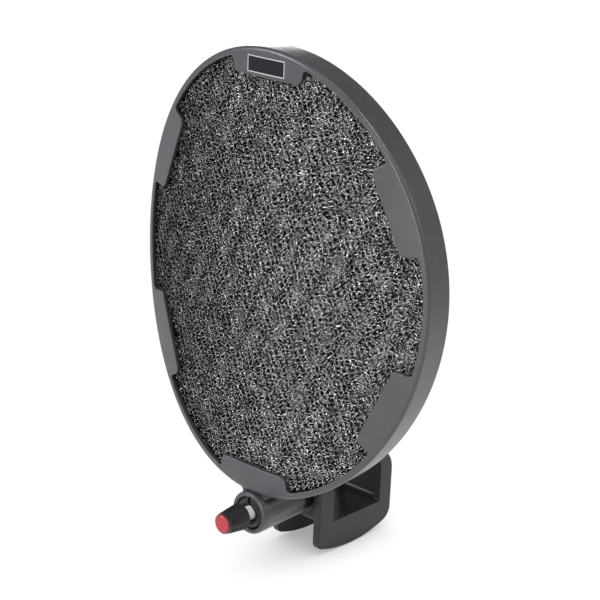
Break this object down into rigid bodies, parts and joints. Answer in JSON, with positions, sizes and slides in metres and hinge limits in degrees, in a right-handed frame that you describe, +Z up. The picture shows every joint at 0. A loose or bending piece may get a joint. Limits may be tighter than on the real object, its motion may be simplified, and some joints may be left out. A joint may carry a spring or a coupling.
{
  "type": "pop filter",
  "caption": "Oval foam pop filter in a bent plastic hoop that swivels on a sleeve bracket and locks with a thumb knob.",
  "frame": {"origin": "middle of the bracket's sleeve, on the swivel axis", "axes": "+X right seen from the front, along the bar that the sleeve takes; +Y backwards, away from the speaker's mouth; +Z up"},
  "size_m": [0.14, 0.0853, 0.2018],
  "materials": {
    "frame_plastic": "satin moulded, fine texture",
    "spigot_plastic": "satin",
    "foam": "open-cell reticulated foam",
    "knob_plastic": "ribbed, satin",
    "cap_plastic": "gloss",
    "badge_metal": "brushed",
    "badge_blank": "satin, blank",
    "screw_steel": "zinc plated",
    "bright_steel": "polished",
    "nut_brass": "turned",
    "rubber": "matt",
    "washer_nylon": "black nylon"
  },
  "bodies": {
    "bracket": {"bracket_body": "frame_plastic", "split_spigot": "spigot_plastic", "spigot_screws": "screw_steel", "friction_ring": "rubber", "thrust_washer": "washer_nylon", "grip_pad": "rubber"},
    "head": {"front_frame": "frame_plastic", "rear_frame": "frame_plastic", "foam_disc": "foam", "frame_screws": "screw_steel", "badge_rim": "badge_metal", "badge_plate": "badge_blank", "boss_collar": "frame_plastic"},
    "knob": {"thumb_knob": "knob_plastic", "knob_cap": "cap_plastic", "clamp_stud": "screw_steel", "stud_clip": "screw_steel", "spacer_sleeve": "bright_steel"},
    "nut": {"cone_nut": "nut_brass"}
  },
  "joints": [
    {"name": "head_swivel", "type": "hinge", "parent": "bracket", "child": "head", "pos_m": [0, -0.035, 0], "axis": [0, 1, 0], "continuous": true},
    {"name": "knob_turn", "type": "hinge", "parent": "bracket", "child": "knob", "pos_m": [0, -0.05, 0], "axis": [0, 1, 0], "range_deg": [-720, 0]},
    {"name": "nut_travel", "type": "slide", "parent": "bracket", "child": "nut", "axis": [0, 1, 0], "range_m": [0, 0.0014]}
  ],
  "couplings": [
    {"joint": "knob_turn", "follows": "nut_travel", "rad_per_m": -8976}
  ]
}
